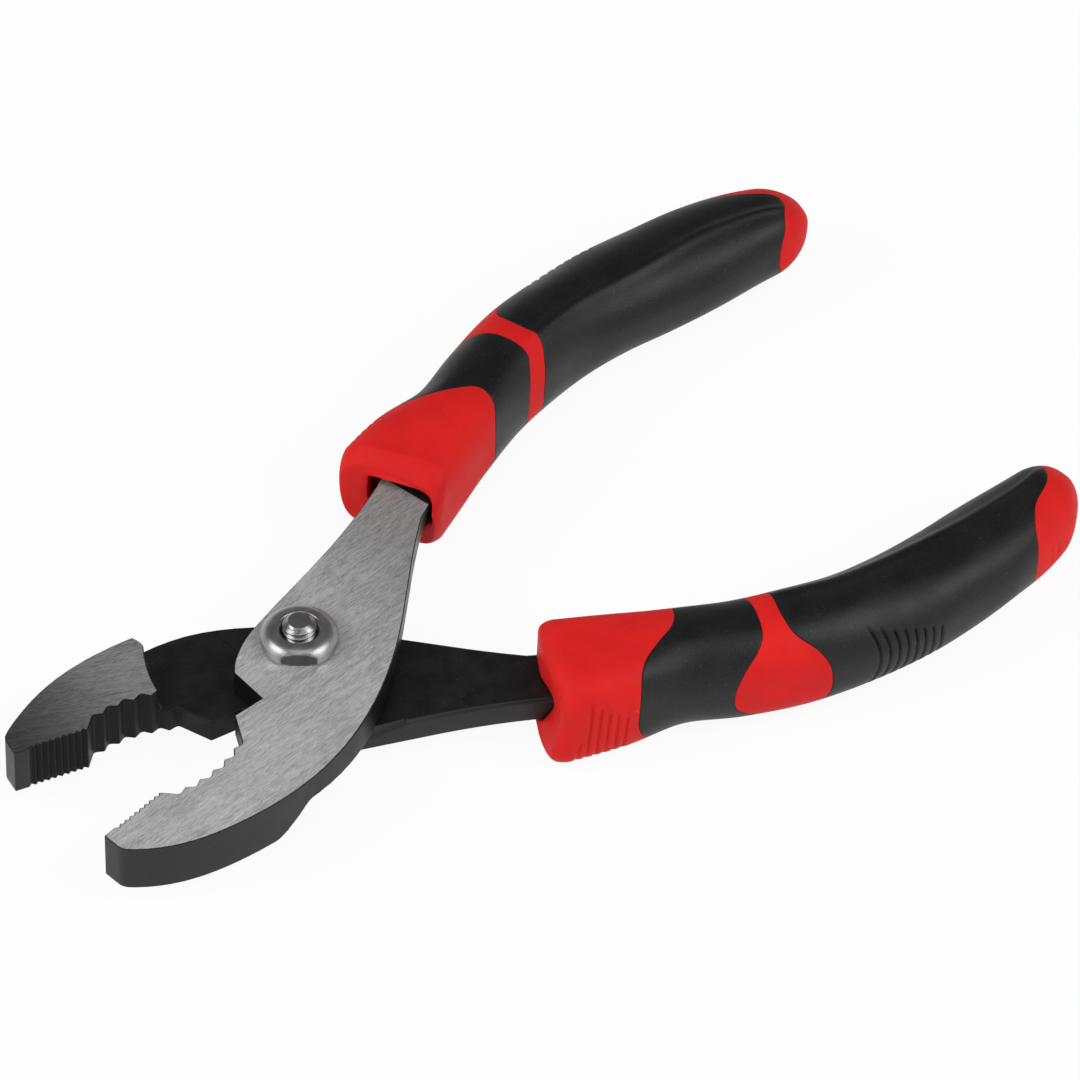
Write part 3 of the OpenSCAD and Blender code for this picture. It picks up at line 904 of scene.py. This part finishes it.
def reliefAt(x, mould):
    turn = wrapTurn(mould)
    out = 0.0
    if x > ridge["turns"][0][0]:
        high = ridge["high"] * ease(*ridge["rise"], x) * (1 - ease(*ridge["fall"], x))
        out = high * bell(abs(turn) - curveAt(ridge["turns"], x), ridge["spread"])
    for g in (palmGrooves, collarGrooves, capGrooves):
        out += grooveAt(g, x, -turn)
    return out


def skinPoint(share, turn, inset, mould=None):
    g = gripShape
    share = min(share, 1.0)
    e = 1 - g["endRound"] / g["length"]
    closing = max(0.0, (share - e) / (1 - e))
    small = max(0.0, 1 - closing ** g["endPower"]) ** (1 / g["endPower"])
    centre = axisAt(share)
    forward = forwardAt(share)
    c = cos(radians(turn))
    s = sin(radians(turn))
    inner = ease(-0.6, 0.6, -c)
    low = mixed(curveAt(gripShares["outerLow"], share), curveAt(gripShares["innerLow"], share), inner)
    top = mixed(curveAt(gripShares["outerTop"], share), curveAt(gripShares["innerTop"], share), inner)
    power = mixed(low, top, ease(-0.5, 0.5, s))
    rho = (abs(c) ** power + abs(s) ** power) ** (-1 / power)
    out = -inset
    if mould is not None:
        out += reliefAt(centre.x, mould)
    out *= min(1.0, small * 1.6)
    across = max(0.0, curveAt(gripShares["width"], share) * g["width"] / 2 * small + out) * rho * c
    up = max(0.0, curveAt(gripShares["high"], share) * g["high"] * small + out) * rho * s
    lean = g["endLean"] * ease(g["endFrom"], 1.0, share) * up
    z = g["high"] + up + g["lift"] + g["endLift"] * ease(g["liftFrom"], 1.0, share)
    return Vector((centre.x - forward.y * across + forward.x * lean,
                   centre.y + forward.x * across + forward.y * lean, z))


def openingPoint(share, turn, grow, flip):
    p = pocket
    gap = p["lower" if flip else "upper"]
    centre = axisAt(share)
    forward = forwardAt(share)
    middle = -p["tangSet"] * max(0.0, 1 - share / p["tangFade"]) ** 2
    c = cos(radians(turn))
    s = sin(radians(turn)) * (-1 if flip else 1)
    power = p["softCorner"] if c < 0 and s > 0 else p["corner"]
    rho = (abs(c) ** power + abs(s) ** power) ** (-1 / power)
    half = p["tangWidth"] / 2 + (gap["outer"] if c > 0 else gap["inner"])
    across = middle + half * grow * rho * c
    low = joint["upperJoint"] - gap["down"]
    high = joint["topFace"] + gap["up"]
    z = (low + high) / 2 + (high - low) / 2 * grow * rho * s
    if flip:
        z = 2 * joint["midHeight"] - z
    return Vector((centre.x - forward.y * across, centre.y + forward.x * across, z))


def turnAt(k):
    return 360 * k / gripShape["sides"] - 90


def gridPiece(rows):
    sides = gripShape["sides"]
    count = len(rows)
    bm = bmesh.new()
    bmesh.ops.create_grid(bm, x_segments=count - 1, y_segments=sides, size=0.5)
    for vert in bm.verts:
        row = round((vert.co.x + 0.5) * (count - 1))
        k = round((vert.co.y + 0.5) * sides)
        vert.co = rows[row][k % sides] * mm
    bmesh.ops.remove_doubles(bm, verts=bm.verts[:], dist=1e-7)
    bmesh.ops.recalc_face_normals(bm, faces=bm.faces[:])
    return bm


def skinRow(shares, inset, flip):
    way = -1 if flip else 1  # both grips are one moulding, the lower one turned over
    return [skinPoint(share, turnAt(k), inset, way * turnAt(k)) for k, share in enumerate(shares)]


def borderRow(key, flip, shift=0.0):
    way = -1 if flip else 1
    start, length = gripShape["start"][0], gripShape["length"]
    return [(curveAt(borders[key], wrapTurn(way * turnAt(k))) + shift - start) / length
            for k in range(gripShape["sides"])]


def landRows(front, rear, places, flip, frontEdge=True, rearEdge=True):
    edge = gripShape["seam"]
    length = gripShape["length"]
    rows = []
    if frontEdge:
        for j in range(4):
            a = radians(90 * j / 3)
            rows.append(([f + edge * (1 - cos(a)) / length for f in front], edge * (1 - sin(a))))
    first = [f + edge / length for f in front]
    final = [r - edge / length for r in rear]
    for t in places:
        rows.append(([mixed(a, b, t) for a, b in zip(first, final)], 0.0))
    if rearEdge:
        for j in range(3, -1, -1):
            a = radians(90 * j / 3)
            rows.append(([r - edge * (1 - cos(a)) / length for r in rear], edge * (1 - sin(a))))
    return [skinRow(shares, inset, flip) for shares, inset in rows]


def coreRows(front, rear, count, inset):
    rows = []
    for j in range(count + 1):
        shares = [mixed(a, b, j / count) for a, b in zip(front, rear)]
        rows.append([skinPoint(share, turnAt(k), inset) for k, share in enumerate(shares)])
    return rows


def evenly(*pieces):
    places = []
    for low, high, count in pieces:
        places += [mixed(low, high, j / count) for j in range(count)]
    return places[1:]


def mouthRows(body, flip):
    power = mouthShape[body]["power"]
    shape = {key: looped(mouthShape[body][key]) for key in ("front", "depth", "reach")}
    start, length = gripShape["start"][0], gripShape["length"]
    turns = [turnAt(k) for k in range(gripShape["sides"])]
    front = [(curveAt(shape["front"], wrapTurn(t)) - start) / length for t in turns]
    depth = [curveAt(shape["depth"], wrapTurn(t)) for t in turns]
    reach = [curveAt(shape["reach"], wrapTurn(t)) / length for t in turns]
    end = pocket["end"]
    rows = [[openingPoint(end, 0, 0.0, flip)] * len(turns)]
    for back in (1.0, 0.6, 0.25, 0.06):
        rows.append([openingPoint(mixed(f, end, back), t, 1.0, flip) for f, t in zip(front, turns)])
    lip = pocket["lip"] / length
    near, wide = pocket["lipGrow"]
    rows.append([openingPoint(f + lip, t, near, flip) for f, t in zip(front, turns)])
    inner = [openingPoint(f, t, wide, flip) for f, t in zip(front, turns)]
    outer = [skinPoint(f, t, d) for f, t, d in zip(front, turns, depth)]
    for part in (0.0, 0.3, 0.6, 0.9):
        rows.append([a.lerp(b, part) for a, b in zip(inner, outer)])
    steps = 14
    for j in range(steps + 1):
        a = radians(90 * j / steps)
        back = 1 - max(cos(a), 0.0) ** (2 / power)
        deep = 1 - sin(a) ** (2 / power)
        rows.append([skinPoint(f + r * back, t, d * deep)
                     for f, r, t, d in zip(front, reach, turns, depth)])
    return rows, [f + r for f, r in zip(front, reach)]


def placeGrip(bm, flip):
    if flip:
        shiftX = joint["turnOver"][0] + gripShape["lowerShift"]
        for vert in bm.verts:
            x, y, z = vert.co
            vert.co = (x + shiftX * mm, joint["turnOver"][1] * mm - y, z)
    bmesh.ops.recalc_face_normals(bm, faces=bm.faces[:])
    smoothByAngle(bm, radians(gripShape["smoothTurn"]))


def makeSleeve(body, flip):
    depth = gripShape["padDepth"]
    collar = borderRow("collar", flip)
    bandFront = borderRow("bandFront", flip)
    bandRear = borderRow("bandRear", flip)
    cap = borderRow("cap", flip)
    capStart = borderRow("cap", flip, 1.0)
    rows, rim = mouthRows(body, flip)
    rows += landRows(rim, collar, evenly((0, 1, 110)), flip, frontEdge=False)
    rows += coreRows(collar, bandFront, 6, depth)
    rows += landRows(bandFront, bandRear, evenly((0, 1, 26)), flip)
    rows += coreRows(bandRear, cap, 16, depth)
    rows += landRows(cap, capStart, evenly((0, 1, 4)), flip, rearEdge=False)
    steps = 64
    for j in range(steps + 1):
        t = sin(radians(90 * j / steps))
        rows.append(skinRow([mixed(c, 1.0, t) for c in capStart], 0.0, flip))
    bm = gridPiece(rows)
    placeGrip(bm, flip)
    addPiece(body + "Sleeve", bm, [materials["red"]], body, "red_moulding", body + "_sleeve")


def makePad(body, flip, kind, front, rear, places):
    gap = gripShape["seamGap"]
    ahead = borderRow(front, flip, gap)
    behind = borderRow(rear, flip, -gap)
    rows = landRows(ahead, behind, places, flip)
    rows += coreRows(behind, ahead, 16, gripShape["padDepth"] - gripShape["padClear"])
    rows.append(rows[0])
    bm = gridPiece(rows)
    placeGrip(bm, flip)
    name = body + kind[0].upper() + kind[1:] + "Pad"
    addPiece(name, bm, [materials["black"]], body, "soft_black", body + "_" + kind + "_pad")


for body, flip in (("upper", False), ("lower", True)):
    makeSleeve(body, flip)
    makePad(body, flip, "neck", "collar", "bandFront", evenly((0, 1, 44)))
    close = evenly((0, 0.12, 16), (0.12, 0.56, 220), (0.56, 1, 60))  # most rows where the grooves are
    makePad(body, flip, "palm", "bandRear", "cap", close)
print("grips made")

studio = {
    "target": (50.9, -5.0, 15.65),
    "towards": (-0.404, -0.560, 0.723),
    "distance": 2593.0,
    "lens": 466.7,
    "sensor": 36.0,
    "floorReach": 6.0,
    "floorTone": 0.86,
    "floorDrop": 0.05,
    "floorGlow": 0.93,
    "skyHeights": (0.08, 0.45),
    "skyLevels": (0.95, 0.13),
    "lights": (  # azimuth, elevation, distance, size and power
        ("keyLeft", 158, 38, 1.3, 0.9, 9.0),
        ("keyRight", -60, 42, 1.3, 0.9, 9.0),
        ("overhead", -126, 78, 1.5, 1.0, 3.0),
        ("fillFront", -150, 24, 1.5, 1.2, 2.5),
    ),
}


def makeFloor():
    bm = bmesh.new()
    bmesh.ops.create_grid(bm, x_segments=1, y_segments=1, size=studio["floorReach"])
    bmesh.ops.translate(bm, vec=(0, 0, -studio["floorDrop"] * mm), verts=bm.verts[:])
    mesh = bpy.data.meshes.new("floor")
    bm.to_mesh(mesh)
    bm.free()
    floor = bpy.data.objects.new("floor", mesh)
    scene.collection.objects.link(floor)
    material = bpy.data.materials.new("floor")
    material.use_nodes = True
    tree = material.node_tree
    tree.nodes.clear()
    leave = addNode(tree, "OutputMaterial")
    card = addNode(tree, "BsdfDiffuse")
    card.inputs["Color"].default_value = (studio["floorTone"],) * 3 + (1,)
    plain = addNode(tree, "Emission")
    plain.inputs["Color"].default_value = (1, 1, 1, 1)
    rays = addNode(tree, "LightPath")
    seen = mathNode(tree, "MAXIMUM", rays.outputs["Is Camera Ray"], rays.outputs["Is Glossy Ray"])
    seen = mathNode(tree, "MAXIMUM", seen, rays.outputs["Is Transmission Ray"])
    both = addNode(tree, "MixShader")
    glow = mathNode(tree, "MULTIPLY", seen, studio["floorGlow"])
    wire(tree, (glow, both.inputs[0]), (card.outputs[0], both.inputs[1]),
         (plain.outputs[0], both.inputs[2]))
    clear = addNode(tree, "BsdfTransparent")
    under = addNode(tree, "NewGeometry").outputs["Backfacing"]  # seen from below the floor is clear
    sided = addNode(tree, "MixShader")
    wire(tree, (under, sided.inputs[0]), (both.outputs[0], sided.inputs[1]),
         (clear.outputs[0], sided.inputs[2]), (sided.outputs[0], leave.inputs["Surface"]))
    mesh.materials.append(material)


def makeWorld():
    world = bpy.data.worlds.new("studio")
    scene.world = world
    world.use_nodes = True
    tree = world.node_tree
    sky = tree.nodes["Background"]
    way = addNode(tree, "TexCoord").outputs["Generated"]
    split = addNode(tree, "SeparateXYZ")
    wire(tree, (way, split.inputs[0]))
    level = rangeNode(tree, split.outputs["Z"], *studio["skyHeights"], *studio["skyLevels"])
    wire(tree, (level, sky.inputs["Strength"]))
    sky.inputs["Color"].default_value = (1, 1, 1, 1)


def addLight(name, azimuth, elevation, distance, size, power):
    data = bpy.data.lights.new(name, "AREA")
    data.shape = "DISK"
    data.size = size
    data.energy = power
    lamp = bpy.data.objects.new(name, data)
    scene.collection.objects.link(lamp)
    a = radians(azimuth)
    e = radians(elevation)
    towards = Vector((cos(a) * cos(e), sin(a) * cos(e), sin(e)))
    target = Vector(studio["target"]) * mm
    lamp.location = target + towards * distance
    lamp.rotation_euler = towards.to_track_quat("Z", "Y").to_euler()


def makeCamera():
    data = bpy.data.cameras.new("camera")
    data.lens = studio["lens"]
    data.sensor_width = studio["sensor"]
    data.clip_end = 50.0
    camera = bpy.data.objects.new("camera", data)
    scene.collection.objects.link(camera)
    towards = Vector(studio["towards"]).normalized()
    camera.location = (Vector(studio["target"]) + towards * studio["distance"]) * mm
    camera.rotation_euler = towards.to_track_quat("Z", "Y").to_euler()
    scene.camera = camera


makeFloor()
makeWorld()
for light in studio["lights"]:
    addLight(*light)
makeCamera()
print("stage made")
scene.view_settings.view_transform = "Standard"
